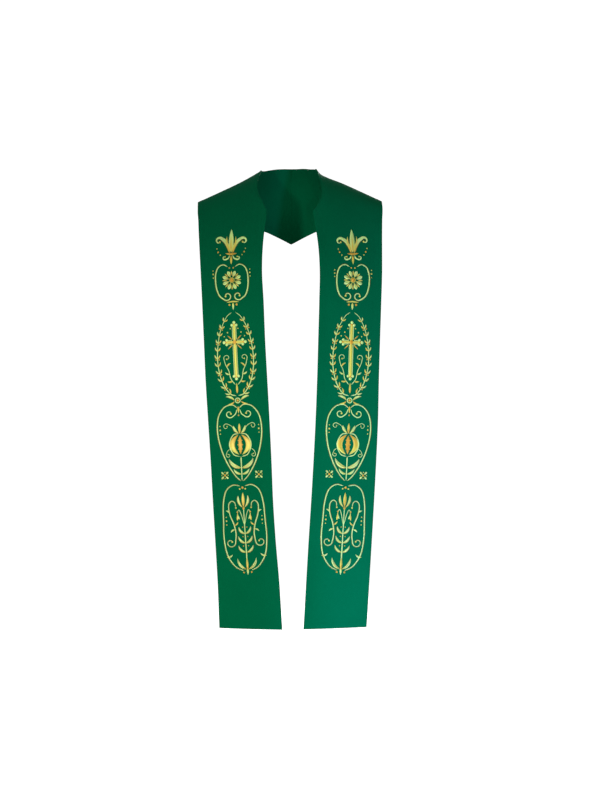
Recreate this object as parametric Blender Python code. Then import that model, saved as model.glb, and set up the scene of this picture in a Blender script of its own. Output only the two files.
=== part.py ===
"""Clerical stole, held in the form it has when it is worn.

Two cloth bands run from a level hem up the front, over the shoulders and round to a
seam at the centre back. Metres, +Z up, the front faces -Y. The origin lies midway
between the two points where the bands cross the top of the shoulders beside the neck.
"""
from collections import namedtuple
import math

import bmesh
import bpy
import numpy as np

# Driving dimensions, in metres and degrees
CLOTH_WALL = 0.0025        # face cloth, stiffening and backing pressed together
SEAM_GAP = 0.0003          # between the two bands at the centre back
HEM_HEIGHT = -1.084        # level hem, below the neck point
CORNER_HEIGHT = -0.101     # corner where the neckline meets the straight front edge
NAPE_RUN = 0.074           # over the back from the shoulder line to the nape, at the centre
POINT_RUN = 0.230          # the same to the lower point of the centre-back seam
FRONT_ROUNDING = 8.5       # how fast the depth falls off to the sides, per square metre
BACK_ROUNDING = 6.0
PROFILE_STEP = 0.001       # step used to add up a profile's tilt

# Sections along one band, and points across it
BACK_SECTIONS = 18
SHOULDER_SECTIONS = 14
FRONT_SECTIONS = 30
POINTS_ACROSS = 13

CLOTH_COLOUR = (0.002, 0.115, 0.052, 1.0)
CLOTH_ROUGHNESS = 0.62

# Height of the shoulder line at a distance from the centre. Inside the neck it is the
# line that the cloth at the nape falls away from; lower down the back, where the neck no
# longer lifts the cloth, the surface falls away from the last column instead.
Ridge = namedtuple("Ridge", "across left right back")
SHOULDER_LINE = (
    Ridge(0.000, 0.0510, 0.0510, 0.0130),
    Ridge(0.015, 0.0494, 0.0492, 0.0125),
    Ridge(0.030, 0.0438, 0.0430, 0.0105),
    Ridge(0.045, 0.0338, 0.0310, 0.0070),
    Ridge(0.060, 0.0185, 0.0135, 0.0020),
    Ridge(0.073, 0.0015, -0.0070, -0.0040),
    Ridge(0.085, -0.0060, -0.0140, -0.0095),
    Ridge(0.120, -0.0253, -0.0272, -0.0260),
    Ridge(0.170, -0.0488, -0.0495, -0.0490),
    Ridge(0.223, -0.0730, -0.0730, -0.0730),
)
NECK_LIFT_FULL = 0.055     # run over the back down to which the neck lifts the cloth
NECK_LIFT_GONE = 0.205     # and the run from which it does so no more

# Tilt of the cloth below level at a run of cloth from the shoulder line
Tilt = namedtuple("Tilt", "run degrees")
FRONT_PROFILE = (
    Tilt(0.00, 0), Tilt(0.03, 32), Tilt(0.06, 54), Tilt(0.10, 66), Tilt(0.16, 72),
    Tilt(0.24, 80), Tilt(0.34, 88), Tilt(0.45, 91), Tilt(0.70, 91), Tilt(1.30, 90),
)
BACK_PROFILE = (
    Tilt(0.00, 0), Tilt(0.03, 26), Tilt(0.06, 44), Tilt(0.10, 58), Tilt(0.16, 70),
    Tilt(0.24, 78), Tilt(0.34, 84),
)

# Edges between the shoulder line (share 0) and the neckline corner's level (share 1)
Neckline = namedtuple("Neckline", "share left_inner right_inner left_outer right_outer")
NECKLINE = (
    Neckline(0.00, 0.0705, 0.0670, 0.2225, 0.2172),
    Neckline(0.32, 0.0750, 0.0710, 0.2225, 0.2175),
    Neckline(0.63, 0.0793, 0.0742, 0.2223, 0.2182),
    Neckline(0.79, 0.0742, 0.0715, 0.2221, 0.2184),
    Neckline(0.92, 0.0634, 0.0626, 0.2220, 0.2183),
    Neckline(1.00, 0.0557, 0.0520, 0.2219, 0.2181),
)

# Edges of the two fronts at each level, down to the hem
Level = namedtuple("Level", "height left_inner left_outer right_inner right_outer")
FRONT_LEVELS = (
    Level(-0.101, 0.0557, 0.2219, 0.0520, 0.2181),
    Level(-0.114, 0.0578, 0.2205, 0.0544, 0.2173),
    Level(-0.147, 0.0621, 0.2187, 0.0597, 0.2165),
    Level(-0.195, 0.0662, 0.2158, 0.0655, 0.2160),
    Level(-0.242, 0.0676, 0.2131, 0.0682, 0.2156),
    Level(-0.312, 0.0646, 0.2094, 0.0676, 0.2135),
    Level(-0.406, 0.0608, 0.2050, 0.0652, 0.2101),
    Level(-0.500, 0.0557, 0.2006, 0.0626, 0.2075),
    Level(-0.594, 0.0506, 0.1948, 0.0589, 0.2050),
    Level(-0.689, 0.0464, 0.1889, 0.0543, 0.2012),
    Level(-0.783, 0.0424, 0.1834, 0.0490, 0.1962),
    Level(-0.877, 0.0364, 0.1778, 0.0431, 0.1907),
    Level(-0.971, 0.0288, 0.1723, 0.0373, 0.1848),
    Level(-1.084, 0.0214, 0.1682, 0.0312, 0.1780),
)

# Powers of the two edges over the back, each a rounded path from the shoulder line in to
# the centre: the nape is a round, and the lower edge nearly a straight-sided point.
BackEdge = namedtuple("BackEdge", "run spread_power run_power")
NAPE_EDGE = BackEdge(NAPE_RUN, 2.0, 2.0)
POINT_EDGE = BackEdge(POINT_RUN, 1.15, 1.30)


def smooth_curve(places, values, start_slope=None, end_slope=None):
    """A smooth curve through the points (places[i], values[i])."""
    places = np.asarray(places, dtype=float)
    values = np.asarray(values, dtype=float)
    gaps = np.diff(places)
    chords = np.diff(values) / gaps
    slopes = np.empty(len(places))
    slopes[1:-1] = (chords[:-1] * gaps[1:] + chords[1:] * gaps[:-1]) / (gaps[:-1] + gaps[1:])
    slopes[0] = chords[0] if start_slope is None else start_slope
    slopes[-1] = chords[-1] if end_slope is None else end_slope

    def value_at(place):
        row = int(np.clip(np.searchsorted(places, place) - 1, 0, len(gaps) - 1))
        gap = gaps[row]
        t = (place - places[row]) / gap
        return ((2 * t**3 - 3 * t**2 + 1) * values[row]
                + (t**3 - 2 * t**2 + t) * gap * slopes[row]
                + (3 * t**2 - 2 * t**3) * values[row + 1]
                + (t**3 - t**2) * gap * slopes[row + 1])

    return value_at


def column(table, name):
    return [getattr(row, name) for row in table]


def back_edge_place(edge, spread, turn):
    """Distance from the centre and run over the back, from turn 0 at the shoulder line."""
    across = spread * max(math.cos(turn), 0.0) ** (2.0 / edge.spread_power)
    return across, edge.run * math.sin(turn) ** (2.0 / edge.run_power)


class Profile:
    """How far out and down the cloth has come after a run from the shoulder line."""

    def __init__(self, table):
        tilt = smooth_curve(column(table, "run"), column(table, "degrees"))
        steps = int(round(table[-1].run / PROFILE_STEP))
        self.run = np.arange(steps + 1) * PROFILE_STEP
        angles = np.radians([tilt(run + PROFILE_STEP / 2) for run in self.run[:-1]])
        self.out = np.concatenate(([0.0], np.cumsum(np.cos(angles) * PROFILE_STEP)))
        self.down = np.concatenate(([0.0], np.cumsum(np.sin(angles) * PROFILE_STEP)))

    def run_for(self, drop):
        return float(np.interp(drop, self.down, self.run))

    def reach(self, run):
        return float(np.interp(run, self.run, self.out))

    def drop(self, run):
        return float(np.interp(run, self.run, self.down))


class Band:
    """The middle surface of one band, as sections of points from inner to outer edge."""

    def __init__(self, side):
        self.side = side
        self.sign = -1.0 if side == "left" else 1.0
        self.front = Profile(FRONT_PROFILE)
        self.back = Profile(BACK_PROFILE)
        self.shoulder = self.ridge(side)
        self.low_shoulder = self.ridge("back")

    @staticmethod
    def ridge(name):
        return smooth_curve(column(SHOULDER_LINE, "across"), column(SHOULDER_LINE, name),
                            start_slope=0.0)

    def edge(self, table, key, end):
        return smooth_curve(column(table, key), column(table, f"{self.side}_{end}"))

    def front_point(self, across, drop):
        reach = self.front.reach(self.front.run_for(drop))
        depth = reach * (1.0 - FRONT_ROUNDING * across**2)
        return (self.sign * across, -depth, self.shoulder(across) - drop)

    def back_point(self, across, run):
        depth = self.back.reach(run) * (1.0 - BACK_ROUNDING * across**2)
        t = np.clip((run - NECK_LIFT_FULL) / (NECK_LIFT_GONE - NECK_LIFT_FULL), 0.0, 1.0)
        low = t * t * (3.0 - 2.0 * t)
        top = (1.0 - low) * self.shoulder(across) + low * self.low_shoulder(across)
        return (self.sign * across, depth, top - self.back.drop(run))

    def back_sections(self):
        """From the centre-back seam up to the shoulder line, without the latter."""
        neck_side = getattr(NECKLINE[0], f"{self.side}_inner")
        arm_side = getattr(NECKLINE[0], f"{self.side}_outer")
        for step in range(BACK_SECTIONS):
            turn = math.pi / 2 * (1.0 - step / BACK_SECTIONS)
            inner = back_edge_place(NAPE_EDGE, neck_side, turn)
            outer = back_edge_place(POINT_EDGE, arm_side, turn)
            points = []
            for part in np.linspace(0.0, 1.0, POINTS_ACROSS):
                across = inner[0] + (outer[0] - inner[0]) * part
                run = inner[1] + (outer[1] - inner[1]) * part
                points.append(self.back_point(max(across, SEAM_GAP / 2), run))
            yield points

    def shoulder_sections(self):
        """From the shoulder line down to the neckline corner's level, without the latter."""
        inner = self.edge(NECKLINE, "share", "inner")
        outer = self.edge(NECKLINE, "share", "outer")
        for step in range(SHOULDER_SECTIONS):
            share = step / SHOULDER_SECTIONS
            points = []
            for across in np.linspace(inner(share), outer(share), POINTS_ACROSS):
                full_drop = self.shoulder(across) - CORNER_HEIGHT
                points.append(self.front_point(across, share**2 * full_drop))
            yield points

    def front_sections(self):
        """From the neckline corner's level down to the hem."""
        inner = self.edge(FRONT_LEVELS[::-1], "height", "inner")
        outer = self.edge(FRONT_LEVELS[::-1], "height", "outer")
        for step in range(FRONT_SECTIONS + 1):
            height = CORNER_HEIGHT + (HEM_HEIGHT - CORNER_HEIGHT) * step / FRONT_SECTIONS
            yield [self.front_point(across, self.shoulder(across) - height)
                   for across in np.linspace(inner(height), outer(height), POINTS_ACROSS)]

    def points(self):
        sections = [*self.back_sections(), *self.shoulder_sections(), *self.front_sections()]
        return np.array(sections)


def outward(points, sign):
    """Unit normals of a grid of points, away from the wearer."""
    along = np.gradient(points, axis=0)
    across = np.gradient(points, axis=1)
    normals = np.cross(along, across) * sign
    normals[0, :, 0] = 0.0         # the seam's ends stay in one plane
    return normals / np.linalg.norm(normals, axis=2, keepdims=True)


def cloth_wall(name, points, sign, colour):
    """A closed wall of even thickness about a grid of points."""
    normals = outward(points, sign)
    rows, columns = points.shape[:2]
    mesh = bpy.data.meshes.new(name)
    shape = bmesh.new()
    skins = []
    for offset in (CLOTH_WALL / 2, -CLOTH_WALL / 2):
        skins.append([[shape.verts.new(point) for point in row] for row in points + normals * offset])
    for skin in skins:
        for row in range(rows - 1):
            for place in range(columns - 1):
                shape.faces.new((skin[row][place], skin[row][place + 1],
                                 skin[row + 1][place + 1], skin[row + 1][place]))
    rim = ([(0, place) for place in range(columns)]
           + [(row, columns - 1) for row in range(1, rows)]
           + [(rows - 1, place) for place in range(columns - 2, -1, -1)]
           + [(row, 0) for row in range(rows - 2, 0, -1)])
    for here, there in zip(rim, rim[1:] + rim[:1]):
        shape.faces.new((skins[0][here[0]][here[1]], skins[0][there[0]][there[1]],
                         skins[1][there[0]][there[1]], skins[1][here[0]][here[1]]))
    bmesh.ops.recalc_face_normals(shape, faces=shape.faces)
    shape.to_mesh(mesh)
    shape.free()
    mesh.shade_smooth()
    mesh.set_sharp_from_angle(angle=math.radians(40))
    mesh.materials.append(colour)
    thing = bpy.data.objects.new(name, mesh)
    bpy.context.scene.collection.objects.link(thing)
    return thing


def cloth_material(name):
    material = bpy.data.materials.new(name)
    material.use_nodes = True
    shader = material.node_tree.nodes["Principled BSDF"]
    shader.inputs["Base Color"].default_value = CLOTH_COLOUR
    shader.inputs["Roughness"].default_value = CLOTH_ROUGHNESS
    shader.inputs["Metallic"].default_value = 0.0
    return material


def main():
    for thing in list(bpy.data.objects):
        bpy.data.objects.remove(thing, do_unlink=True)
    for side in ("left", "right"):
        band = Band(side)
        cloth_wall(f"stole_{side}_band", band.points(), band.sign,
                   cloth_material(f"green_cloth_{side}"))


main()
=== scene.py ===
import math

import bpy
import numpy as np
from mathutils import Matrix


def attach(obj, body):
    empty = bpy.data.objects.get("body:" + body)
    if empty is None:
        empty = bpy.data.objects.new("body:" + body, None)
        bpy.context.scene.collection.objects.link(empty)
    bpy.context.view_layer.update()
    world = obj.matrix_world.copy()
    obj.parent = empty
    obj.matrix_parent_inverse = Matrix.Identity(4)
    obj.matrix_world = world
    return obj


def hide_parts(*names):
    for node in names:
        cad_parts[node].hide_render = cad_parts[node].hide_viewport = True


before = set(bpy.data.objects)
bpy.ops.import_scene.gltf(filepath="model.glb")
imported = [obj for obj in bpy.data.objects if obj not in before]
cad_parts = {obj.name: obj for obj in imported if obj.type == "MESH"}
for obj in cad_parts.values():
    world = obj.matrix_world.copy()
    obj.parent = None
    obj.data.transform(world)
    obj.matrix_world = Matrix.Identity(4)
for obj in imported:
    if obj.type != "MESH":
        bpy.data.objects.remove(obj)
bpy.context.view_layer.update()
root = "root"
mm = 0.001
sideNames = ("left", "right")
sideSign = {"left": -1.0, "right": 1.0}
print("stage: frame loaded")

# The bands as cut and worn, in metres
band = {
    "wall": 0.0025,             # face cloth, stiffening and backing
    "hemHeight": -1.084,
    "hemShift": {"left": (-0.0018, -0.0002), "right": (-0.0008, 0.0015)},   # inner and outer end
    "cornerHeight": -0.101,     # where the neckline meets the straight front edge
    "napeRun": 0.074,           # of cloth from the shoulder line to the neck edge at the seam
    "pointRun": 0.230,          # and to the point of the back
    "frontRounding": 8.5,
    "backRounding": 6.0,
    "napePowers": (2.0, 2.0),
    "pointPowers": (1.15, 1.30),
    "liftFull": 0.055,
    "liftGone": 0.205,
    "backRows": 74,
    "shoulderRows": 56,
    "frontRows": 232,
    "columns": 33,              # between the two turnings
    "edgeRoll": 0.0016,         # width of the rounded turn at an edge
    "turning": 0.015,           # cloth turned in under each edge
    "turningRise": 0.00026,
    "turningSoftness": 0.0004,
    "seamDip": 0.00055,
    "seamReach": 0.0016,
    "ridgeShare": 0.45,         # of a crease's depth, in the soft ridge beside it
    "ridgeAway": 2.1,           # half widths from the crease to that ridge
    "slowRipple": 0.0006,
    "quickRipple": 0.00016,
    "ripplePhase": {"left": 1.0, "right": 2.3},
    "calmDrop": 0.05,           # below the shoulder line, over which the relief begins in front
    "calmBack": 0.03,           # and behind
    "calmSeam": 0.02,           # beside the centre-back seam
}
shoulderLine = {                # distance from the centre: height on the left, right, low back
    0.000: (0.0510, 0.0510, 0.0130),
    0.015: (0.0494, 0.0487, 0.0125),
    0.030: (0.0438, 0.0421, 0.0105),
    0.045: (0.0338, 0.0286, 0.0070),
    0.053: (0.0264, 0.0189, 0.0046),
    0.060: (0.0185, 0.0072, 0.0020),
    0.066: (0.0109, -0.0011, -0.0008),
    0.073: (0.0022, -0.0068, -0.0040),
    0.085: (-0.0053, -0.0127, -0.0095),
    0.120: (-0.0247, -0.0262, -0.0260),
    0.170: (-0.0484, -0.0485, -0.0490),
    0.223: (-0.0726, -0.0730, -0.0730),
}
frontTilt = {0.00: 0, 0.03: 32, 0.06: 54, 0.10: 66, 0.16: 72, 0.24: 80, 0.34: 88, 0.45: 91,
             0.70: 91, 1.30: 90}    # run of cloth from the shoulder line: degrees below level
backTilt = {0.00: 0, 0.03: 26, 0.06: 44, 0.10: 58, 0.16: 70, 0.24: 78, 0.34: 84}
neckline = {                    # share of the way down to the corner: inner and outer, left then right
    0.00: (0.0705, 0.2234, 0.0590, 0.2178),
    0.32: (0.0750, 0.2233, 0.0648, 0.2181),
    0.48: (0.0784, 0.2232, 0.0716, 0.2185),
    0.63: (0.0793, 0.2231, 0.0742, 0.2188),
    0.79: (0.0742, 0.2229, 0.0715, 0.2190),
    0.92: (0.0634, 0.2228, 0.0626, 0.2188),
    1.00: (0.0557, 0.2227, 0.0520, 0.2186),
}
frontEdges = {                  # height: inner and outer, left then right
    -1.084: (0.0199, 0.1689, 0.0297, 0.1790),
    -0.971: (0.0271, 0.1732, 0.0362, 0.1859),
    -0.877: (0.0352, 0.1787, 0.0417, 0.1916),
    -0.783: (0.0414, 0.1844, 0.0477, 0.1970),
    -0.689: (0.0452, 0.1896, 0.0532, 0.2020),
    -0.594: (0.0497, 0.1957, 0.0580, 0.2062),
    -0.500: (0.0548, 0.2015, 0.0616, 0.2081),
    -0.406: (0.0599, 0.2057, 0.0642, 0.2109),
    -0.312: (0.0637, 0.2101, 0.0667, 0.2141),
    -0.242: (0.0673, 0.2139, 0.0678, 0.2164),
    -0.195: (0.0662, 0.2167, 0.0655, 0.2167),
    -0.147: (0.0621, 0.2195, 0.0597, 0.2171),
    -0.114: (0.0578, 0.2213, 0.0544, 0.2179),
    -0.101: (0.0557, 0.2227, 0.0520, 0.2186),
}

# Soft creases: across, height, half width, half length and depth in mm, and lean
frontCreases = {
    "left": [
        (165, -150, 20, 60, 1.2, 0.35),
        (90, -190, 14, 55, 0.8, -0.15),
        (188, -420, 16, 170, 1.1, 0.05),
        (62, -610, 13, 150, 0.9, 0.06),
        (166, -830, 19, 140, 1.3, 0.05),
        (60, -1010, 20, 80, 1, 0.1),
    ],
    "right": [
        (150, -140, 22, 50, 1.1, 0.3),
        (200, -230, 10, 110, 1, 0),
        (78, -330, 13, 120, 0.8, 0),
        (187, -620, 18, 160, 1.2, 0.06),
        (70, -840, 16, 130, 1, 0.08),
        (150, -1020, 24, 80, 1.2, 0.05),
    ],
}
backCreases = {
    "left": [
        (60, -55, 12, 60, 2.4, 0.55),
        (120, -80, 16, 45, 2.2, 0.9),
        (26, -120, 10, 45, 1.4, 0.3),
    ],
    "right": [
        (52, -70, 13, 55, 2.1, 0.5),
        (128, -75, 15, 45, 2.5, 0.9),
        (34, -20, 10, 40, 1.3, 0.2),
    ],
}


def unit(vectors):
    return vectors / np.linalg.norm(vectors, axis=-1, keepdims=True)


def runAlong(points, axis=0):
    # how far each point lies along its line, from the line's first point
    steps = np.linalg.norm(np.diff(points, axis=axis), axis=-1)
    start = np.zeros_like(np.take(steps, [0], axis))
    return np.concatenate((start, np.cumsum(steps, axis=axis)), axis=axis)


def mix(first, last, share):
    return first + (last - first) * share


def pointing(angle):
    return np.array((math.cos(angle), math.sin(angle)))


def smoothCurve(table, column=None, startSlope=None):
    # an even curve through a table's rows, where column picks one of several values
    places = np.array(sorted(table), dtype=float)
    values = [table[p] if column is None else table[p][column] for p in sorted(table)]
    values = np.array(values, dtype=float)
    gaps = np.diff(places)
    chords = np.diff(values) / gaps
    slopes = np.empty(len(places))
    slopes[1:-1] = (chords[:-1] * gaps[1:] + chords[1:] * gaps[:-1]) / (gaps[:-1] + gaps[1:])
    slopes[0] = chords[0] if startSlope is None else startSlope
    slopes[-1] = chords[-1]

    def valueAt(place):
        place = np.asarray(place, dtype=float)
        row = np.clip(np.searchsorted(places, place) - 1, 0, len(gaps) - 1)
        gap = gaps[row]
        t = (place - places[row]) / gap
        return ((2 * t**3 - 3 * t**2 + 1) * values[row] + (t**3 - 2 * t**2 + t) * gap * slopes[row]
                + (3 * t**2 - 2 * t**3) * values[row + 1] + (t**3 - t**2) * gap * slopes[row + 1])

    return valueAt


def profile(table):
    # the cloth's way over the shoulder: out and down for each run of cloth
    step = 0.001
    tilt = smoothCurve(table)
    run = np.arange(int(round(max(table) / step)) + 1) * step
    angles = np.radians(tilt(run[:-1] + step / 2))
    out, down = (np.concatenate(([0.0], np.cumsum(part(angles) * step))) for part in (np.cos, np.sin))
    return {"run": run, "out": out, "down": down}


frontProfile = profile(frontTilt)
backProfile = profile(backTilt)
shoulder = {side: smoothCurve(shoulderLine, i, 0.0) for i, side in enumerate(sideNames)}
lowShoulder = smoothCurve(shoulderLine, 2, 0.0)


def edgeCurves(table, side):
    first = 0 if side == "left" else 2
    return smoothCurve(table, first), smoothCurve(table, first + 1)


def creaseDepth(creases, across, height):
    depth = np.zeros(np.broadcast(across, height).shape)
    for *sizes, lean in creases:
        place, level, halfWidth, halfLength, deep = np.array(sizes) * mm
        along = (height - level) / halfLength
        aside = (across - place - lean * (height - level)) / halfWidth
        depth = depth - deep * np.exp(-0.5 * (along**2 + aside**2))
        beside = np.exp(-0.5 * (along**2 + (aside - band["ridgeAway"])**2))
        depth = depth + band["ridgeShare"] * deep * beside
    return depth


def ripple(across, height, phase):
    # a slow, slight unevenness that any lined cloth has
    slow = np.sin(11.0 * height + 3.1 * phase) * np.sin(23.0 * across + phase)
    quick = np.sin(47.0 * height + 31.0 * across + 5.0 * phase) * np.sin(39.0 * across - 17.0 * height)
    return band["slowRipple"] * slow + band["quickRipple"] * quick


def placed(side, across, depth, height):
    return np.stack(np.broadcast_arrays(sideSign[side] * across, depth, height), axis=-1)


def frontMiddle(side, across, height):
    drop = np.maximum(shoulder[side](across) - height, 0.0)
    run = np.interp(drop, frontProfile["down"], frontProfile["run"])
    reach = np.interp(run, frontProfile["run"], frontProfile["out"])
    relief = creaseDepth(frontCreases[side], across, height)
    relief = relief + ripple(across, height, band["ripplePhase"][side])
    relief = relief * np.clip(drop / band["calmDrop"], 0.0, 1.0)
    depth = reach * (1.0 - band["frontRounding"] * across**2) + relief
    return placed(side, across, -depth, height)


def backMiddle(side, across, run):
    t = np.clip((run - band["liftFull"]) / (band["liftGone"] - band["liftFull"]), 0.0, 1.0)
    low = t * t * (3.0 - 2.0 * t)
    top = (1.0 - low) * shoulder[side](across) + low * lowShoulder(across)
    drop = np.interp(run, backProfile["run"], backProfile["down"])
    reach = np.interp(run, backProfile["run"], backProfile["out"])
    height = top - drop
    calm = np.clip(drop / band["calmBack"], 0.0, 1.0) * np.clip(across / band["calmSeam"], 0.0, 1.0)
    relief = creaseDepth(backCreases[side], across, height) * calm
    return placed(side, across, reach * (1.0 - band["backRounding"] * across**2) + relief, height)


# Distances from an edge at which the cloth has a column or a row
edgeSteps = (0.0, 0.00013, 0.0004, 0.00087, 0.0015, 0.0045, 0.008, 0.011, 0.0138, 0.0146, 0.0154, 0.0162)


def acrossShares(widths):
    # close together at the edges and where the turnings end, even between them
    near = np.array(edgeSteps)[None, :] / widths
    even = np.linspace(0.0, 1.0, band["columns"] + 2)[None, 1:-1]
    body = near[:, -1:] + (1.0 - 2.0 * near[:, -1:]) * even
    return np.concatenate((near, body, 1.0 - near[:, ::-1]), axis=1)


def bandMiddle(side):
    inner, outer = edgeCurves(neckline, side)
    neckSide, armSide = float(inner(0.0)), float(outer(0.0))
    turn = (math.pi / 2 * (1.0 - np.arange(band["backRows"]) / band["backRows"]))[:, None]

    def backEdge(spread, run, powers):
        across = spread * np.maximum(np.cos(turn), 0.0) ** (2.0 / powers[0])
        return across, run * np.sin(turn) ** (2.0 / powers[1])

    innerX, innerRun = backEdge(neckSide, band["napeRun"], band["napePowers"])
    outerX, outerRun = backEdge(armSide, band["pointRun"], band["pointPowers"])
    shares = acrossShares(np.hypot(outerX - innerX, outerRun - innerRun))
    across = mix(innerX, outerX, shares)        # nought at the seam, where the bands meet
    back = backMiddle(side, across, mix(innerRun, outerRun, shares))

    share = (np.arange(band["shoulderRows"]) / band["shoulderRows"])[:, None]
    across = mix(inner(share), outer(share), acrossShares(outer(share) - inner(share)))
    level = shoulder[side](across)
    over = frontMiddle(side, across, level - share**2 * (level - band["cornerHeight"]))

    inner, outer = edgeCurves(frontEdges, side)
    length = band["cornerHeight"] - band["hemHeight"]
    nearHem = 1.0 - np.array(edgeSteps[::-1]) / length
    down = np.linspace(0.0, 1.0, band["frontRows"] + 1)
    down = np.concatenate((down[down < nearHem[0] - 0.002], nearHem))[:, None]
    height = band["cornerHeight"] - length * down
    shares = acrossShares(outer(height) - inner(height))
    across = mix(inner(height), outer(height), shares)
    height = height + mix(*band["hemShift"][side], shares) * down**6
    front = frontMiddle(side, across, height)
    return np.concatenate((back, over, front), axis=0)


def outward(points, side):
    normals = np.cross(np.gradient(points, axis=0), np.gradient(points, axis=1)) * sideSign[side]
    normals[0, :, 0] = 0.0       # the seam's ends stay in one plane
    return unit(normals)


def edgeDistance(points):
    # how far each point lies from the nearest of the two long edges and the hem
    fromInner = runAlong(points, 1)
    fromOuter = fromInner[:, -1:] - fromInner
    fromHem = runAlong(points[::-1])[::-1]
    return np.minimum(np.minimum(fromInner, fromOuter), fromHem)


def newMesh(name, coords, edges, faces):
    mesh = bpy.data.meshes.new(name)
    mesh.from_pydata(coords, edges, faces)
    mesh.shade_smooth()
    return mesh


def tubeFaces(start, end, ring):
    # between each ring of points and the next
    return [(row + i, row + (i + 1) % ring, row + ring + (i + 1) % ring, row + ring + i)
            for row in range(start, end - ring, ring) for i in range(ring)]


def clothMesh(name, side):
    # a closed thin shell: both faces, rounded edges and the end at the seam
    points = bandMiddle(side)
    normals = outward(points, side)
    near = edgeDistance(points)
    roll = np.clip(near / band["edgeRoll"], 0.0, 1.0)
    half = band["wall"] / 2 * np.sqrt(1.0 - (1.0 - roll) ** 2)
    turned = 1.0 / (1.0 + np.exp((near - band["turning"]) / band["turningSoftness"]))
    half = half + band["turningRise"] * turned * roll
    behind = points[:, :, 1] > band["calmBack"]
    seam = np.exp(-np.abs(points[:, :, 0]) / band["seamReach"]) * behind
    half = half - band["seamDip"] * seam * roll
    lift = normals * half[:, :, None]
    coords = np.concatenate((points + lift, points - lift)).reshape(-1, 3)

    rows, columns = near.shape
    number = np.arange(rows * columns).reshape(rows, columns)
    rim = np.zeros((rows, columns), dtype=bool)
    rim[:, 0] = rim[:, -1] = rim[-1, :] = True
    innerNumber = np.where(rim, number, number + rows * columns)

    def quads(index, flip):
        corners = np.stack((index[:-1, :-1], index[:-1, 1:], index[1:, 1:], index[1:, :-1]), axis=-1)
        corners = corners.reshape(-1, 4)
        return corners[:, ::-1] if flip else corners

    leftSide = side == "left"
    seamEnd = np.stack((number[0, :-1], innerNumber[0, :-1], innerNumber[0, 1:], number[0, 1:]), axis=-1)
    faces = np.concatenate((quads(number, leftSide), quads(innerNumber, not leftSide),
                            seamEnd[:, ::-1] if leftSide else seamEnd))
    used, faces = np.unique(faces, return_inverse=True)
    cleanFaces = []
    for face in faces.reshape(-1, 4).tolist():
        corners = [c for i, c in enumerate(face) if c != face[i - 1]]    # a rim face repeats one
        if len(corners) > 2:
            cleanFaces.append(corners)
    mesh = newMesh(name, coords[used].tolist(), [], cleanFaces)

    # the cloth's own flat measure, in metres, for the weave
    wide = runAlong(points, 1)
    along = np.broadcast_to(runAlong(points).mean(axis=1)[:, None], wide.shape)
    flat = np.stack((wide, along), axis=-1).reshape(-1, 2)
    flat = np.concatenate((flat, flat))[used]
    corner = np.empty(len(mesh.loops), dtype=np.int32)
    mesh.loops.foreach_get("vertex_index", corner)
    layer = mesh.uv_layers.new(name="clothUV")
    layer.data.foreach_set("uv", flat[corner].astype(np.float32).ravel())
    mesh.update()
    return mesh


def newObject(name, data):
    thing = bpy.data.objects.new(name, data)
    bpy.context.scene.collection.objects.link(thing)
    return thing


def addPiece(name, mesh, material):
    piece = newObject(name, mesh)
    if material:
        mesh.materials.append(material)
    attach(piece, root)
    return piece


def fill(tree, node, inputs):
    # an input takes a value, or the output that feeds it
    for key, value in inputs.items():
        if isinstance(value, bpy.types.NodeSocket):
            tree.links.new(value, node.inputs[key])
        else:
            node.inputs[key].default_value = value


def nodeMaker(tree):
    # two calls: one adds any node and returns an output of it, the other adds a sum
    def made(kind, output, inputs=None, **settings):
        node = tree.nodes.new(kind)
        for key, value in settings.items():
            setattr(node, key, value)
        fill(tree, node, inputs or {})
        return node.outputs[output]

    def maths(operation, *values):
        return made("ShaderNodeMath", 0, dict(enumerate(values)), operation=operation)

    return made, maths


def surfaceMaker(tree):
    # the same two, and one each for a noise and for a bumped normal
    made, maths = nodeMaker(tree)

    def noise(vector, scale, detail=2.0):
        return made("ShaderNodeTexNoise", "Fac", {"Vector": vector, "Scale": scale, "Detail": detail})

    def bump(height, strength, distance):
        inputs = {"Height": height, "Strength": strength, "Distance": distance}
        return made("ShaderNodeBump", "Normal", inputs)

    return made, maths, noise, bump


def newMaterial(name):
    material = bpy.data.materials.new(name)
    material.use_nodes = True
    return material, material.node_tree, material.node_tree.nodes["Principled BSDF"]


greenCloth = {
    "deep": (0.0, 0.0800, 0.0304, 1.0),
    "light": (0.0, 0.1580, 0.0600, 1.0),
    "base": -0.22,
    "mottleShare": 0.22,        # shares of the cloth's slight unevenness of colour
    "slubShare": 0.34,
    "weaveShare": 1.10,
    "mottleScale": 14.0,
    "slubScale": (900.0, 60.0),
    "threadPitch": 0.00042,
    "floatLength": 5.0,         # in threads
    "floatDepth": 1.4,
    "twillScale": 0.31,
    "twillDegrees": 63.4,
    "twillDepth": 0.45,
    "weaveHeight": 0.00020,
    "weaveStrength": 0.6,
    "roughness": (0.54, 0.66),
    "surface": {
        "Specular IOR Level": 0.08,
        "Specular Tint": (0.03, 0.60, 0.35, 1.0),
        "Sheen Weight": 0.06,
        "Sheen Roughness": 0.5,
        "Sheen Tint": (0.0, 0.60, 0.32, 1.0),
    },
}


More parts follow.
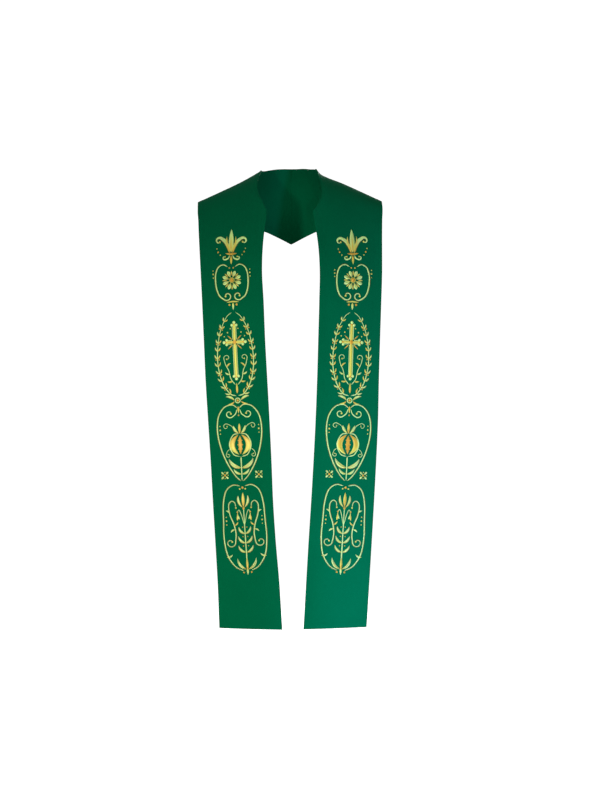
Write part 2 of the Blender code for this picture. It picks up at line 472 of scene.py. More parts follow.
def greenClothMaterial():
    material, tree, shader = newMaterial("greenSatin")
    made, maths, noise, bump = surfaceMaker(tree)
    uv = made("ShaderNodeUVMap", "UV", uv_map="clothUV")
    pitch = 1.0 / greenCloth["threadPitch"]

    def stretched(scale, degrees=0.0):
        inputs = {"Vector": uv, "Scale": (*scale, 1.0), "Rotation": (0.0, 0.0, math.radians(degrees))}
        return made("ShaderNodeMapping", "Vector", inputs)

    mottle = noise(made("ShaderNodeTexCoord", "Object"), greenCloth["mottleScale"], 4.0)
    slub = noise(stretched(greenCloth["slubScale"]), 1.0)       # threads thicker and thinner

    # satin: long floats, each row of them a step on from the last
    inputs = {"Vector": stretched((pitch, pitch), greenCloth["twillDegrees"]),
              "Scale": greenCloth["twillScale"], "Distortion": 0.6, "Detail": 1.0}
    twill = made("ShaderNodeTexWave", "Fac", inputs, wave_type="BANDS", bands_direction="X")
    inputs = {"Vector": stretched((pitch, pitch / greenCloth["floatLength"])), "Scale": 1.0}
    floats = made("ShaderNodeTexVoronoi", "Distance", inputs, feature="DISTANCE_TO_EDGE")
    twillPart = maths("MULTIPLY", twill, greenCloth["twillDepth"])
    weave = maths("MULTIPLY_ADD", floats, greenCloth["floatDepth"], twillPart)

    shade = greenCloth["base"]
    for source, share in ((mottle, "mottleShare"), (slub, "slubShare"), (weave, "weaveShare")):
        shade = maths("MULTIPLY_ADD", source, greenCloth[share], shade)
    inputs = {"A": greenCloth["deep"], "B": greenCloth["light"], "Factor": shade}
    low, high = greenCloth["roughness"]
    fill(tree, shader, {
        "Base Color": made("ShaderNodeMix", "Result", inputs, data_type="RGBA"),
        "Normal": bump(weave, greenCloth["weaveStrength"], greenCloth["weaveHeight"]),
        "Roughness": made("ShaderNodeMapRange", "Result", {"Value": slub, "To Min": low, "To Max": high}),
        **greenCloth["surface"],
    })
    return material


def plainMaterial(name, colour, roughness, **others):
    material, tree, shader = newMaterial(name)
    fill(tree, shader, {"Base Color": colour, "Roughness": roughness, **others})
    return material


greenMaterial = greenClothMaterial()
for side in sideNames:
    name = f"{side}BandCloth"
    addPiece(name, clothMesh(name, side), greenMaterial)
    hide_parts(f"stole_{side}_band")

goldThread = {
    "tones": [(0.00, (0.670, 0.860, 0.345)), (0.36, (0.780, 0.720, 0.130)),
              (0.68, (0.760, 0.450, 0.050)), (1.00, (0.240, 0.100, 0.010))],
    "toneVaries": 0.11,
    "toneScale": 260.0,
    "columnEnds": (-0.957, -0.144),     # heights in metres
    "paintedSheen": (0.90, 1.16),         # painted sheen: scale of the thread's colour at these heights
    "twistScale": 2600.0,
    "twistStrength": 0.35,
    "twistHeight": 0.0001,
    "surface": {"Metallic": 0.15, "Roughness": 0.42, "Specular IOR Level": 0.45},
}


def goldThreadMaterial():
    material, tree, shader = newMaterial("goldThread")
    made, maths, noise, bump = surfaceMaker(tree)
    place = made("ShaderNodeTexCoord", "Object")
    varies = goldThread["toneVaries"]
    centre = maths("SUBTRACT", made("ShaderNodeAttribute", "Fac", attribute_name="tone"), varies)
    tone = maths("MULTIPLY_ADD", noise(place, goldThread["toneScale"]), 2.0 * varies, centre)
    colour = made("ShaderNodeValToRGB", "Color", {"Fac": tone})
    stops = colour.node.color_ramp.elements
    for index, (where, shade) in enumerate(goldThread["tones"]):
        stop = stops[index] if index < 2 else stops.new(where)
        stop.position = where
        stop.color = (*shade, 1.0)
    # painted sheen: the thread's colour is made a little brighter at the top of the column than at its
    # foot, standing in for the light its satin catches there
    height = made("ShaderNodeSeparateXYZ", "Z", {"Vector": place})
    (foot, top), (low, high) = goldThread["columnEnds"], goldThread["paintedSheen"]
    inputs = {"Value": height, "From Min": foot, "From Max": top, "To Min": low, "To Max": high}
    inputs = {0: colour, "Scale": made("ShaderNodeMapRange", "Result", inputs)}
    twist = noise(place, goldThread["twistScale"])
    fill(tree, shader, {
        "Base Color": made("ShaderNodeVectorMath", "Vector", inputs, operation="SCALE"),
        "Normal": bump(twist, goldThread["twistStrength"], goldThread["twistHeight"]),
        **goldThread["surface"],
    })
    return material


# The embroidered column: places are in millimetres, across from its axis and down from its top
embroidery = {
    "topHeight": -0.1440,       # in metres, as the next two
    "axisOffset": {"left": -0.0010, "right": 0.0045},
    "leanSpan": 0.05,
    "pathStep": 1.6,
    "pale": 0.0,                # the tones of thread
    "rich": 0.36,
    "amber": 0.68,
    "brown": 1.0,
    "rootShade": 0.32,          # how much richer a leaf or petal is at its root
    "lineRise": 0.55,           # of the padding under a line
    "shapeRise": 0.95,          # and under a leaf or petal
    "shadeOffset": 0.25,        # from a line to the brown thread beside it
    "shadeShare": 0.6,          # of that thread's own half width, on top of the offset
    "shade": (0.42, 0.18, -0.05),   # its half width, rise and height above the cloth
    "fullAt": 0.9,              # half width from which a stroke has its whole rise
    "endTaper": 4.0,            # over which a line narrows at its ends
    "endShare": 0.35,           # of its width, which it keeps there
    "curlTightens": 0.62,       # share of its radius that a curl loses by its end
    "curlStep": 0.45,           # of its radius at most
    "leafStep": 1.3,
    "fullLeaf": 5.0,            # width from which a leaf has its whole rise
    "leafTip": 0.30,            # half width at a leaf's ends
    "leafFullness": 0.75,       # less is rounder
    "vein": (0.32, 0.25, 0.95),     # half width, rise and height above the cloth
    "pitch": 0.00080,           # in metres, as the rest
    "thread": 0.00036,
    "unevenness": 0.06,
    "seeds": {"left": 7, "right": 11},
    "liftOffCloth": 0.00005,
    "splitAt": 396.0,           # down the column, where its upper piece ends
}


def placeAlong(path, reach):
    return np.stack([np.interp(reach, runAlong(path), path[:, k]) for k in (0, 1)], axis=-1)


def evenPath(path):
    length = runAlong(path)[-1]
    count = max(int(round(length / embroidery["pathStep"])), 3)
    return placeAlong(path, np.linspace(0.0, length, count + 1))


def curveThrough(points):
    # an even, rounded path through a few places
    points = np.array(points, dtype=float)
    points = np.concatenate(([2 * points[0] - points[1]], points, [2 * points[-1] - points[-2]]))
    path = []
    for p0, p1, p2, p3 in zip(points, points[1:], points[2:], points[3:]):
        for t in np.linspace(0.0, 1.0, 12, endpoint=False):
            path.append(0.5 * (2 * p1 + (p2 - p0) * t + (2 * p0 - 5 * p1 + 4 * p2 - p3) * t**2
                               + (3 * p1 - p0 - 3 * p2 + p3) * t**3))
    path.append(points[-2])
    return evenPath(np.array(path))


def stroke(path, half, tone, rise, lay=0.0):
    # half (of the width) and tone are one number each, or one for each point of the path
    many = np.ones(len(path))
    return {"path": path, "half": many * half, "tone": many * tone, "rise": rise, "lay": lay}


def shadeBeside(line, side):
    # the fine brown thread that runs along one side of a pale one
    path, half = line["path"], line["half"]
    ahead = np.gradient(path, axis=0)
    ahead = ahead / np.maximum(np.linalg.norm(ahead, axis=1, keepdims=True), 1e-6)
    aside = np.stack((-ahead[:, 1], ahead[:, 0]), axis=1) * side
    wide, rise, lay = embroidery["shade"]
    wide = wide * np.clip(half / embroidery["fullAt"], 0.5, 1.0)
    away = half + embroidery["shadeOffset"] + wide * embroidery["shadeShare"]
    return stroke(path + aside * away[:, None], wide, embroidery["brown"], rise, lay)


def volute(path, radius, degrees):
    # winds a path up at its end, the other way for degrees below nought
    ahead = path[-1] - path[-2]
    heading = math.atan2(ahead[1], ahead[0])
    total = abs(math.radians(degrees))
    point, turned, added = path[-1], 0.0, []
    while turned < total:
        tight = radius * (1.0 - embroidery["curlTightens"] * turned / total)
        step = min(embroidery["pathStep"], tight * embroidery["curlStep"])
        turned += step / tight
        heading += math.copysign(step / tight, degrees)
        point = point + step * pointing(heading)
        added.append(point)
    return np.concatenate((path, added))


def scroll(points, widths, tone="pale", shade=0.0, bead=0.0, curl=None, rootShade=0.0):
    # a line of stitches through the points, its widths spread evenly along it
    path = curveThrough(points)
    if curl:
        path = volute(path, *curl)
    lengths = runAlong(path)
    share = lengths / lengths[-1]
    half = np.interp(share, np.linspace(0.0, 1.0, len(widths)), widths) / 2
    toEnd = np.minimum(lengths, lengths[-1] - lengths)
    taper = np.clip(toEnd / embroidery["endTaper"], embroidery["endShare"], 1.0)
    tones = embroidery[tone] + rootShade * np.maximum(1.0 - 2.0 * share, 0.0)
    line = stroke(path, half * taper, tones, embroidery["lineRise"])
    made = [line]
    if shade:
        made.append(shadeBeside(line, shade))
    if bead:
        made += dot(path[-1], bead, "rich")
    return made


def dot(centre, radius, tone="amber", rise=1.2, lay=0.12):
    # a round, as a short path across it, with lower padding in a small one
    reach = np.linspace(-0.94, 0.94, 7) * radius
    path = np.array([(centre[0], centre[1] + r) for r in reach])
    half = np.sqrt(np.maximum(radius**2 - reach**2, 0.01))
    return [stroke(path, half, embroidery[tone], min(rise, radius * 0.45), lay)]


def beadRow(across, places):
    made = []
    for down, radius in zip(places, (1.3, 1.9, 1.3)):
        made += dot((across, down), radius, "rich")
    return made


def ring(centre, radius, width, tone="pale"):
    angles = np.linspace(0.0, 2 * math.pi, max(int(radius * 4.2), 14))
    path = np.array([centre + radius * pointing(a) for a in angles])
    return [stroke(path, width / 2, embroidery[tone], embroidery["lineRise"])]


def leaf(base, tip, width, tone="pale", bend=0.0, fullest=0.5, vein=False, shade=0.0):
    base, tip = np.array(base, dtype=float), np.array(tip, dtype=float)
    reach = tip - base
    aside = np.array((-reach[1], reach[0])) * bend
    count = max(int(np.linalg.norm(reach) / embroidery["leafStep"]), 5)
    share = np.linspace(0.0, 1.0, count + 1)
    t = share[:, None]
    path = base + reach * t + aside * 4 * t * (1 - t)
    power = math.log(0.5) / math.log(fullest)
    half = width / 2 * np.sin(math.pi * share**power) ** embroidery["leafFullness"]
    half = np.maximum(half, embroidery["leafTip"])
    tones = embroidery[tone] + embroidery["rootShade"] * (1.0 - share) ** 1.5
    tones = np.minimum(tones, embroidery["amber"])
    made = [stroke(path, half, tones, embroidery["shapeRise"] * min(width / embroidery["fullLeaf"], 1.0))]
    if vein:
        wide, rise, lay = embroidery["vein"]
        made.append(stroke(path[1:-2], wide, embroidery["brown"], rise, lay))
    if shade:
        made.append(shadeBeside(made[0], shade))
    return made


def mirrored(strokes):
    return strokes + [{**s, "path": s["path"] * (-1.0, 1.0)} for s in strokes]


def leafySprig(points, widths, first, last, spacing, length, leafWidth):
    # a laurel stem: leaves in pairs along it, with a berry at every second pair
    forward, outward, shrink = 0.80, 0.56, 0.28      # as shares of a leaf's length
    made = scroll(points, widths)
    path = made[0]["path"]
    places = np.arange(first, runAlong(path)[-1] - last, spacing)
    for number, place in enumerate(places):
        here = placeAlong(path, place)
        ahead = unit(placeAlong(path, place + 2.0) - here)
        size = length * (1.0 - shrink * number / len(places))
        for way, tone in ((1.0, "pale"), (-1.0, "rich")):
            aside = np.array((-ahead[1], ahead[0])) * way
            tip = here + ahead * size * forward + aside * size * outward
            made += leaf(here + aside * 0.5, tip, leafWidth, tone, 0.10 * way, 0.45, shade=max(way, 0.0))
            if number % 2:
                made += dot(here + aside * 3.6 - ahead * 2.4, 1.5)
    return made


def splitWhere(path, keep):
    # the longer unbroken stretches of the path that are kept
    cuts = np.flatnonzero(np.diff(keep)) + 1
    parts = zip(np.split(path, cuts), np.split(keep, cuts))
    return [part for part, kept in parts if kept[0] and len(part) > 3]


def lilyPanel():
    half = scroll([(3.5, 55), (7.5, 40), (15, 27), (24, 20)], (3.0, 7.6, 8.4, 4.4, 1.8),
                  shade=1.0, bead=2.2, curl=(8.5, 250), rootShade=0.60)
    half += leaf((3, 52), (10.5, 16), 4.2, "rich", bend=0.08, fullest=0.55)
    half += scroll([(3.5, 61), (7, 68), (14, 71)], (3.0, 3.8, 1.6), bead=1.8, curl=(5.0, -230))
    half += dot((34, 45), 1.4, "rich") + dot((31, 53), 2.0) + dot((26, 60), 1.4, "rich")
    middle = leaf((0, 54), (0, -1), 12.5, fullest=0.46)
    middle += [{**s, "lay": 0.35} for s in leaf((0, 51), (0, 13), 4.6, "rich", fullest=0.42)]
    middle += leaf((0, 61), (0, 82), 5.4, "rich")
    middle += scroll([(-13, 56.5), (0, 58), (13, 56.5)], (3.2, 4.6, 3.2), "amber")
    return mirrored(half) + middle


def rosettePanel():
    centre = np.array((0.0, 120.0))
    half = scroll([(9, 88), (20, 83), (32, 90), (38, 108), (37.5, 134), (31, 155), (20, 165)],
                  (1.9, 2.8, 3.0, 2.7, 1.9), shade=-1.0, bead=2.4, curl=(10.5, 300))
    half += beadRow(43.5, (96, 104, 112.5)) + dot((4.5, 91), 1.8) + dot((8.5, 178), 2.6)
    middle = []
    for number in range(8):
        angle = math.pi * (number + 0.5) / 4
        way, between = pointing(angle), pointing(angle + math.pi / 8)
        middle += leaf(centre + way * 5.6, centre + way * 23.0, 8.6, fullest=0.66, vein=True)
        middle += leaf(centre + between * 11.0, centre + between * 22.0, 3.0, "rich", fullest=0.6)
    middle += dot(centre, 4.6, rise=1.5) + ring(centre, 5.6, 1.2, "rich")
    middle += scroll([(-14, 172), (0, 170.5), (14, 172)], (2.2, 3.4, 2.2), "rich")
    middle += leaf((0, 174), (0, 190), 5.0, fullest=0.4)
    return mirrored(half) + middle


def crossPanel():
    half = leafySprig([(3, 392), (17, 386), (33, 360), (41.5, 322), (41, 282), (33, 240), (18, 208),
                       (5, 196)], (2.4, 2.3, 1.9, 1.5), first=14.0, last=12.0, spacing=18.0,
                      length=13.0, leafWidth=3.3)
    arm, head, foot, level = 19.0, 226.0, 346.0, 266.0
    middle = []
    for start, end in (((0, head), (0, foot)), ((-arm, level), (arm, level))):
        path = evenPath(np.array((start, end)))
        middle.append(stroke(path, 2.9, embroidery["rich"], embroidery["shapeRise"]))
        clear = np.abs(path - (0.0, level)).max(axis=1) > 5.4       # of the crossing
        for aside in (-4.2, 4.2):
            moved = path + ((aside, 0.0) if start[0] == end[0] else (0.0, aside))
            middle += [stroke(part, 0.8, embroidery["pale"], 0.5, 0.1) for part in splitWhere(moved, clear)]
    ends = (((0, head), (0, -1)), ((0, foot), (0, 1)), ((-arm, level), (-1, 0)), ((arm, level), (1, 0)))
    for tip, out in np.array(ends):
        side = out[::-1]
        middle += dot(tip + out * 6.0, 3.7, "pale") + dot(tip + side * 5.4, 3.2, "pale")
        middle += dot(tip - side * 5.4, 3.2, "pale") + dot(tip + out * 1.2, 2.6, rise=1.5, lay=0.3)
    for across, down in ((1, 1), (1, -1), (-1, 1), (-1, -1)):
        middle += leaf((5.6 * across, level + 5.6 * down), (16 * across, level + 16 * down), 2.6, "amber")
    middle += dot((0, level), 4.6, rise=1.6, lay=0.5)
    # a fine vine on either side of the shaft
    half += scroll([(3, 366), (13, 352), (17, 333), (24, 318), (27.5, 304)], (2.0, 2.0, 1.6, 1.2),
                   bead=1.7, curl=(7.5, -290))
    half += leaf((15.5, 341), (25.5, 336), 3.8, bend=0.14)
    half += leaf((21, 324), (12, 315), 3.6, "rich", bend=0.14)
    half += leaf((9, 357), (21, 358), 3.8, "rich", bend=0.12)
    half += dot((9, 234), 1.4, "rich") + dot((16, 243), 1.7, "rich") + dot((24, 252), 1.4, "rich")
    middle += leaf((0, 386), (0, 362), 5.0, "rich", fullest=0.4)
    return mirrored(half) + middle


def pomegranatePanel():
    half = leaf((8, 402), (27, 393), 5.0, bend=-0.14, shade=1.0)
    half += leaf((8, 405), (23, 411), 3.8, "rich", bend=0.14)
    half += scroll([(2, 421), (14, 413), (33, 418), (48, 440), (52, 474), (46, 513), (33, 549), (16, 578),
                    (3, 592)], (1.8, 2.5, 2.7, 2.5, 1.9), shade=-1.0)
    half += scroll([(3, 423), (7, 434), (15, 441)], (2.0, 2.6, 1.8), bead=2.2, curl=(9.5, -290))
    half += beadRow(45.5, (462, 471, 480))
    # the fruit, open to its seeds
    half += leaf((4, 484), (4, 530), 12.5, "rich", bend=-0.33)
    half += scroll([(2, 481), (16, 484), (25.5, 506), (17, 529), (2, 535)], (2.0, 2.6, 2.0))
    for row, down in enumerate(np.arange(492, 524, 5.0)):
        spread = 5.2 * math.sin(math.pi * (down - 484) / 45)
        half += dot((spread * (0.9 if row % 2 else 0.45), down), 1.9, lay=0.5)
    half += leaf((2.5, 480), (14, 462), 5.8, bend=0.12, fullest=0.55, shade=1.0)
    half += leaf((1.5, 561), (28, 540), 8.4, bend=0.16, fullest=0.45, vein=True, shade=1.0)
    half += leaf((1.5, 576), (18, 564), 5.4, bend=0.16, fullest=0.45)
    half += scroll([(12, 471), (19, 462), (28, 457)], (1.2, 1.6, 1.2), bead=1.3, curl=(7.0, 300))
    half += scroll([(24, 516), (31, 521), (34.5, 529)], (1.2, 1.5, 1.1), bead=1.3, curl=(5.5, 290))
    # four small petals outside the frame's foot
    flower = np.array((40.0, 578.0))
    for number in range(4):
        way = pointing(math.pi * (number + 0.5) / 2)
        half += leaf(flower + way * 2.4, flower + way * 11.5, 4.8, fullest=0.62)
        half += dot(flower + np.array((way[0] - way[1], way[0] + way[1])) * 5.2, 1.1, "rich")
    half += dot(flower, 2.4)
    middle = leaf((0, 481), (0, 457), 6.0, "rich")
    middle += leaf((0, 486), (0, 529), 9.0, "amber")
    middle += scroll([(0, 535), (0, 592)], (2.8, 2.4, 2.0))
    middle += ring((0, 403), 5.6, 2.2) + dot((0, 403), 3.0)
    middle += leaf((0, 417), (0, 433), 4.0, "rich", fullest=0.4) + dot((0, 438), 1.8)
    return mirrored(half) + middle


def bellflowerPanel():
    half = scroll([(6, 604), (23, 602), (39, 615), (47, 645), (49, 688), (50, 728), (44, 766), (28, 792),
                   (9, 803)], (1.8, 2.6, 2.4, 2.6, 1.9), shade=-1.0)
    half += scroll([(18, 654), (20, 643), (28, 639), (35, 649), (33, 671), (25, 694), (21.5, 716),
                    (24, 737)], (1.5, 2.1, 2.5, 2.2, 1.5), shade=1.0, bead=2.0, curl=(11.0, -310))
    half += dot((18, 655), 2.0, "rich")
    half += leaf((33, 668), (42, 661), 3.8, bend=-0.16)
    half += leaf((23, 706), (33, 712), 3.8, bend=-0.16)
    half += leaf((24, 696), (15, 688), 3.4, "rich", bend=-0.16)
    half += beadRow(42, (676, 685, 694))
    half += leaf((47, 770), (33, 764), 4.0, bend=-0.16)
    # side bells on bent stalks
    half += scroll([(1, 694), (6, 672), (11, 660), (15, 666)], (1.7, 1.6, 1.4))
    half += leaf((15, 666), (10.5, 682), 4.2, bend=-0.10, fullest=0.66)
    half += leaf((15, 666), (16.5, 685), 4.6, "rich", bend=0.04, fullest=0.66)
    half += dot((15, 665), 2.0)
    for down, reach in ((716, 14), (738, 16), (760, 17)):
        half += leaf((1, down), (reach, down - 16), 5.2, bend=0.16, fullest=0.45, shade=1.0)
        half += dot((reach * 0.35, down - 15), 1.2)
    half += leaf((2, 800), (22, 774), 6.4, bend=0.16, vein=True)
    half += dot((9, 807), 2.2)
    middle = scroll([(0, 652), (0, 792)], (2.0, 2.4, 3.0))
    middle += leaf((0, 654), (0, 620), 7.4, "rich")
    middle += mirrored(leaf((1.5, 655), (11, 627), 5.4, bend=0.14, fullest=0.58, shade=1.0))
    middle += dot((0, 657), 2.8) + leaf((0, 803), (0, 772), 5.4, "rich", fullest=0.45)
    middle += leaf((0, 797), (0, 813), 5.0, fullest=0.4)
    middle += dot((0, 608), 2.8) + mirrored(dot((6.5, 611), 1.9, "rich"))
    return mirrored(half) + middle


def axisAcross(side, height):
    inner, outer = edgeCurves(frontEdges, side)
    return (inner(height) + outer(height)) / 2 + embroidery["axisOffset"][side]


def onCloth(side, path):
    # design places to points on the cloth's face, with the normals there
    across, down = path[:, 0] * mm, path[:, 1] * mm
    height = embroidery["topHeight"] - down
    span = embroidery["leanSpan"]
    lean = (axisAcross(side, height - span) - axisAcross(side, height + span)) / (2 * span)
    place = axisAcross(side, height) + across
    level = height + across * lean
    step = 0.0015
    middle = frontMiddle(side, place, level)
    alongX = frontMiddle(side, place + step, level) - frontMiddle(side, place - step, level)
    alongZ = frontMiddle(side, place, level + step) - frontMiddle(side, place, level - step)
    normal = unit(np.cross(alongX, alongZ) * sideSign[side])
    return middle + normal * (band["wall"] / 2), normal


# Half of a padding ribbon's outline is sunk in the cloth: across and up, as shares of its size
paddingSection = ((-1.0, -0.35), (-0.90, 0.22), (-0.55, 0.68), (0.0, 0.82),
                  (0.55, 0.68), (0.90, 0.22), (1.0, -0.35))


def risen(s):
    # narrow strokes are padded less
    return s["rise"] * mm * np.minimum(1.0, s["half"] / embroidery["fullAt"])


def lifted(side, s):
    points, normals = onCloth(side, s["path"])
    return points + normals * (embroidery["liftOffCloth"] + s["lay"] * mm), normals


def addValues(mesh, name, values):
    values = np.array(values, dtype=np.float32)
    kind, field = ("FLOAT", "value") if values.ndim == 1 else ("FLOAT_VECTOR", "vector")
    mesh.attributes.new(name, kind, "POINT").data.foreach_set(field, values.ravel())


def paddingMesh(name, side, strokes):
    coords, faces, tones = [], [], []
    ring = len(paddingSection)
    across, up = np.array(paddingSection).T[:, :, None]
    for s in strokes:
        points, normals = lifted(side, s)
        aside = np.cross(normals, unit(np.gradient(points, axis=0)))
        wide, high = aside * s["half"][:, None] * mm, normals * risen(s)[:, None]
        start = len(coords)
        coords += (points[:, None] + wide[:, None] * across + high[:, None] * up).reshape(-1, 3).tolist()
        faces += tubeFaces(start, len(coords), ring)
        faces.append(tuple(range(start + ring - 1, start - 1, -1)))
        faces.append(tuple(range(len(coords) - ring, len(coords))))
        tones += list(np.repeat(s["tone"], ring))
    mesh = newMesh(name, coords, [], faces)
    addValues(mesh, "tone", tones)
    return mesh


def pathMesh(name, paths):
    # the paths that stitches follow, with what each stitch needs to know
    joined = {key: np.concatenate([path[key] for path in paths]) for key in paths[0]}
    edges, start = [], 0
    for path in paths:
        count = len(path["points"])
        edges += [(start + i, start + i + 1) for i in range(count - 1)]
        start += count
    mesh = newMesh(name, joined["points"].tolist(), edges, [])
    for key in ("halfWidth", "rise", "tone", "faceNormal"):
        addValues(mesh, key, joined[key])
    return mesh


def guideMesh(name, side, strokes):
    paths = []
    for s in strokes:
        points, normals = lifted(side, s)
        paths.append({"points": points, "faceNormal": normals, "halfWidth": s["half"] * mm,
                      "rise": risen(s), "tone": s["tone"]})
    return pathMesh(name, paths)


def stitchTree():
    tree = bpy.data.node_groups.new("satinStitches", "GeometryNodeTree")
    for name, kind, value in (("Paths", "Geometry", None), ("Stitch pitch", "Float", 0.0008),
                              ("Thread thickness", "Float", 0.0004), ("Unevenness", "Float", 0.06),
                              ("Seed", "Int", 7), ("Thread", "Material", None)):
        socket = tree.interface.new_socket(name, in_out="INPUT", socket_type=f"NodeSocket{kind}")
        if value is not None:
            socket.default_value = value
    tree.interface.new_socket("Stitches", in_out="OUTPUT", socket_type="NodeSocketGeometry")
    made, maths = nodeMaker(tree)
    given = tree.nodes.new("NodeGroupInput").outputs

    def named(name, kind="FLOAT"):
        return made("GeometryNodeInputNamedAttribute", "Attribute", {"Name": name}, data_type=kind)

    # one stitch: a bowed three-sided thread from -1 to 1, with its crown about 1 high and its ends sunk
    crownHeight, endDrop = 1.06, 1.20
    ends = {"Start": (-1.0, 0.0, 0.0), "End": (1.0, 0.0, 0.0)}
    line = made("GeometryNodeCurvePrimitiveLine", "Curve", ends)
    cut = made("GeometryNodeResampleCurve", "Curve", {"Curve": line, "Count": 4})
    section = made("GeometryNodeCurvePrimitiveCircle", "Curve", {"Resolution": 3, "Radius": 0.5})
    inputs = {"Curve": cut, "Profile Curve": section, "Fill Caps": True}
    thread = made("GeometryNodeCurveToMesh", "Mesh", inputs)
    where = made("GeometryNodeInputPosition", "Position")
    along = made("ShaderNodeSeparateXYZ", "X", {"Vector": where})
    drop = maths("MULTIPLY", maths("MULTIPLY", along, along), endDrop)
    bow = made("ShaderNodeCombineXYZ", "Vector", {"Z": maths("SUBTRACT", crownHeight, drop)})
    bowed = made("GeometryNodeSetPosition", "Geometry", {"Geometry": thread, "Offset": bow})

    # the paths, cut at the pitch
    paths = made("GeometryNodeMeshToCurve", "Curve", {"Mesh": given["Paths"]})
    inputs = {"Curve": paths, "Length": given["Stitch pitch"]}
    even = made("GeometryNodeResampleCurve", "Curve", inputs, mode="LENGTH")
    tangent = made("GeometryNodeInputTangent", "Tangent")
    faceNormal = named("faceNormal", "FLOAT_VECTOR")
    inputs = {0: tangent, 1: faceNormal}
    across = made("ShaderNodeVectorMath", "Vector", inputs, operation="CROSS_PRODUCT")
    inputs = {"Primary Axis": faceNormal, "Secondary Axis": across}
    turn = made("FunctionNodeAxesToRotation", "Rotation", inputs, primary_axis="Z", secondary_axis="X")
    uneven = made("FunctionNodeRandomValue", 1, {
        2: maths("SUBTRACT", 1.0, given["Unevenness"]),
        3: maths("ADD", 1.0, given["Unevenness"]),
        "Seed": given["Seed"],
    }, data_type="FLOAT")
    bulge = maths("MULTIPLY", given["Thread thickness"], 0.55)    # about half of the thread
    size = made("ShaderNodeCombineXYZ", "Vector", {
        "X": maths("MULTIPLY", named("halfWidth"), uneven),
        "Y": given["Thread thickness"],
        "Z": maths("ADD", named("rise"), bulge),
    })
    inputs = {"Points": even, "Instance": bowed, "Rotation": turn, "Scale": size}
    stitches = made("GeometryNodeInstanceOnPoints", "Instances", inputs)
    real = made("GeometryNodeRealizeInstances", "Geometry", {"Geometry": stitches})
    inputs = {"Geometry": real, "Material": given["Thread"]}
    finished = made("GeometryNodeSetMaterial", "Geometry", inputs)
    fill(tree, tree.nodes.new("NodeGroupOutput"), {"Stitches": finished})
    return tree


def stitchPiece(name, guide, look, seed, material):
    # runs the tree on the guide paths and keeps what it makes as a plain mesh
    values = {"Stitch pitch": look["pitch"], "Thread thickness": look["thread"],
              "Unevenness": look["unevenness"], "Seed": seed, "Thread": material}
    guideObject = newObject(f"{name}Guide", guide)
    modifier = guideObject.modifiers.new("stitches", "NODES")
    modifier.node_group = satinTree
    for socket in satinTree.interface.items_tree:
        if socket.in_out == "INPUT" and socket.name in values:
            modifier[socket.identifier] = values[socket.name]
    depsgraph = bpy.context.evaluated_depsgraph_get()
    mesh = bpy.data.meshes.new_from_object(guideObject.evaluated_get(depsgraph),
                                           preserve_all_data_layers=True, depsgraph=depsgraph)
    bpy.data.objects.remove(guideObject)
    mesh.name = name
    mesh.shade_smooth()
    return addPiece(name, mesh, None)


goldMaterial = goldThreadMaterial()
satinTree = stitchTree()
design = lilyPanel() + rosettePanel() + crossPanel() + pomegranatePanel() + bellflowerPanel()
panels = {
    "Upper": [s for s in design if s["path"][:, 1].mean() <= embroidery["splitAt"]],
    "Lower": [s for s in design if s["path"][:, 1].mean() > embroidery["splitAt"]],
}
sewn = {}
for side in sideNames:
    name = f"{side}EmbroideryPadding"
    sewn[side] = [addPiece(name, paddingMesh(name, side, design), goldMaterial)]
    for number, (panel, strokes) in enumerate(panels.items()):
        guide = guideMesh(f"{side}{panel}Paths", side, strokes)
        sewn[side].append(stitchPiece(f"{side}{panel}Stitches", guide, embroidery,
                                      embroidery["seeds"][side] + number, goldMaterial))
    print("stage:", side, "embroidery,", [len(piece.data.polygons) for piece in sewn[side]], "faces")

# The small stitches that close the seam at the centre of the back
seamStitch = {
    "pitch": 0.0032,
    "halfWidth": 0.0012,
    "rise": 0.00010,
    "thread": 0.00030,
    "unevenness": 0.12,
    "seed": 3,
    "sunk": 0.00020,
    "margin": 0.003,            # of cloth at either end of the seam
    "colour": (0.0, 0.085, 0.033, 1.0),
    "roughness": 0.55,
}


def seamPathMesh(name):
    start, end = band["napeRun"] + seamStitch["margin"], band["pointRun"] - seamStitch["margin"]
    run = np.linspace(start, end, 60)
    points = (backMiddle("left", 0.0 * run, run) + backMiddle("right", 0.0 * run, run)) / 2
    normals = unit(np.cross((1.0, 0.0, 0.0), np.gradient(points, axis=0)))
    normals = normals * np.sign(normals[:, 1:2])
    points = points + normals * (band["wall"] / 2 - seamStitch["sunk"])
    values = {key: np.full(len(run), seamStitch[key]) for key in ("halfWidth", "rise")}
    return pathMesh(name, [{"points": points, "faceNormal": normals, **values, "tone": 0.0 * run}])


seamMaterial = plainMaterial("greenSeamThread", seamStitch["colour"], seamStitch["roughness"])
seam = stitchPiece("centreBackSeamStitches", seamPathMesh("centreBackSeamPath"), seamStitch,
                   seamStitch["seed"], seamMaterial)
sewn["left"].append(seam)
print("stage: seam,", len(seam.data.polygons), "faces")

# The plain pale floor, which rises all round into a backdrop, in metres
paleStage = {
    "floorHeight": -1.52,
    "floorRings": (0.5, 4.0, 7.5),
    "bend": 1.5,
    "top": 9.0,
    "turns": 64,
    "colour": (0.90, 0.90, 0.895, 1.0),
    "roughness": 0.9,
    "glowColour": (1.0, 1.0, 0.995, 1.0),
    "glow": 0.80,
    "roomColour": (1.0, 1.0, 1.0, 1.0),
    "roomLight": 0.32,
}


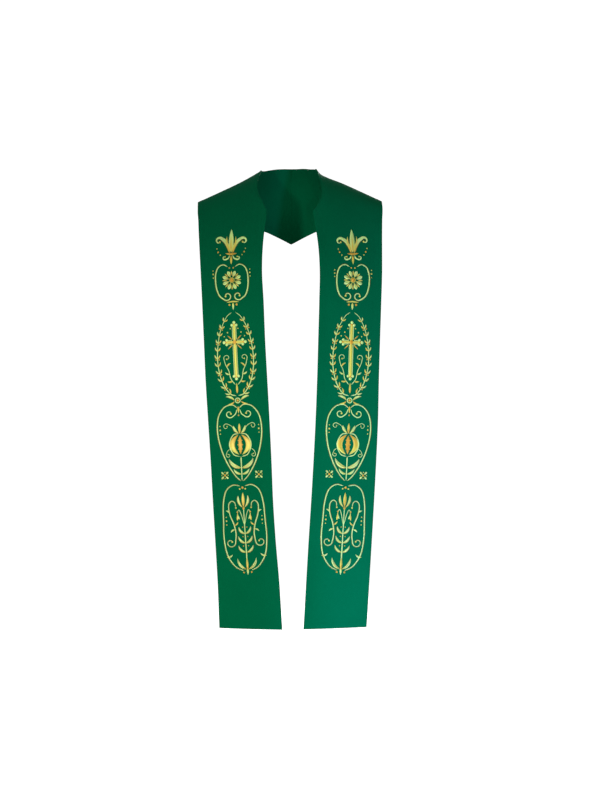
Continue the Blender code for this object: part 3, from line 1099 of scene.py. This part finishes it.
def stageMesh(name):
    bend, turns, radius = paleStage["bend"], paleStage["turns"], paleStage["floorRings"][-1]
    outline = [(reach, 0.0) for reach in paleStage["floorRings"]]
    for angle in np.linspace(0.0, math.pi / 2, 13)[1:]:
        outline.append((radius + bend * math.sin(angle), bend * (1 - math.cos(angle))))
    outline.append((radius + bend, paleStage["top"]))
    coords = [(0.0, 0.0, paleStage["floorHeight"])]
    for reach, rise in outline:
        coords += [(*(reach * pointing(2 * math.pi * i / turns)), paleStage["floorHeight"] + rise)
                   for i in range(turns)]
    faces = [(0, 1 + i, 1 + (i + 1) % turns) for i in range(turns)]
    faces += [face[::-1] for face in tubeFaces(1, len(coords), turns)]
    return newMesh(name, coords, [], faces)


paper = plainMaterial("palePaper", paleStage["colour"], paleStage["roughness"], **{
    "Emission Color": paleStage["glowColour"], "Emission Strength": paleStage["glow"]})
stage = newObject("paleStage", stageMesh("paleStage"))
stage.data.materials.append(paper)
stage.visible_diffuse = False       # it is seen, and throws no light on the cloth
stage.visible_glossy = False
stage.visible_shadow = False

world = bpy.data.worlds.new("softRoom")
bpy.context.scene.world = world
world.use_nodes = True
background = world.node_tree.nodes["Background"]
fill(world.node_tree, background, {"Color": paleStage["roomColour"], "Strength": paleStage["roomLight"]})

lightSizes = {
    "frontSpot": {"kind": "SPOT", "place": (-2.4, -5.5, -1.20), "aim": (0.0, 0.0, -0.78),
                  "cone": 15.9, "blend": 0.80, "radius": 0.30, "watts": 925, "colour": (1.0, 1.0, 0.97)},
    "lowRight": {"kind": "SPOT", "place": (0.52, -1.15, -1.58), "aim": (0.40, -0.10, -1.38),
                 "narrowed": 0.237, "cone": 124.4, "blend": 0.45, "radius": 0.04, "watts": 51,
                 "colour": (0.62, 0.90, 1.66)},
    "neckFill": {"kind": "SPOT", "place": (0.35, -3.20, -0.60), "aim": (0.0, 0.05, -0.07),
                 "cone": 2.8, "blend": 1.0, "radius": 0.05, "watts": 75, "colour": (1.0, 1.0, 1.0)},
    "behind": {"kind": "AREA", "place": (2.6, 4.4, 1.0), "aim": (0.0, 0.0, -0.40),
               "size": (2.4, 2.4), "watts": 160, "colour": (1.0, 1.0, 1.0)},
}


def aim(thing, target):
    away = [a - b for a, b in zip(thing.location, target)]
    flat = math.hypot(away[0], away[1])
    thing.rotation_euler = (math.atan2(flat, away[2]), 0.0, math.atan2(away[0], -away[1]))


for name, light in lightSizes.items():
    data = bpy.data.lights.new(name, light["kind"])
    if light["kind"] == "AREA":
        data.shape = "RECTANGLE"
        data.size, data.size_y = light["size"]
    else:
        data.spot_size = math.radians(light["cone"])
        data.spot_blend = light["blend"]
        data.shadow_soft_size = light["radius"]
    data.energy = light["watts"]
    data.color = light["colour"]
    lamp = newObject(name, data)
    lamp.location = light["place"]
    lamp.scale[0] = light.get("narrowed", 1.0)      # as barn doors would
    aim(lamp, light["aim"])

view = {
    "acrossFromCentre": 0.0216,
    "height": -0.5460,          # level with the middle of the fronts
    "distance": 5.0,
    "shownHeight": 1.92,        # metres of height in view at the shoulder line
    "sensor": 36.0,
}
cameraData = bpy.data.cameras.new("frontCamera")
camera = newObject("frontCamera", cameraData)
camera.location = (view["acrossFromCentre"], -view["distance"], view["height"])
camera.rotation_euler = (math.radians(90), 0.0, 0.0)
cameraData.sensor_width = view["sensor"]
cameraData.lens = view["sensor"] * view["distance"] / view["shownHeight"]
bpy.context.scene.camera = camera
bpy.context.scene.view_settings.view_transform = "Standard"
print("stage: camera and lights set")
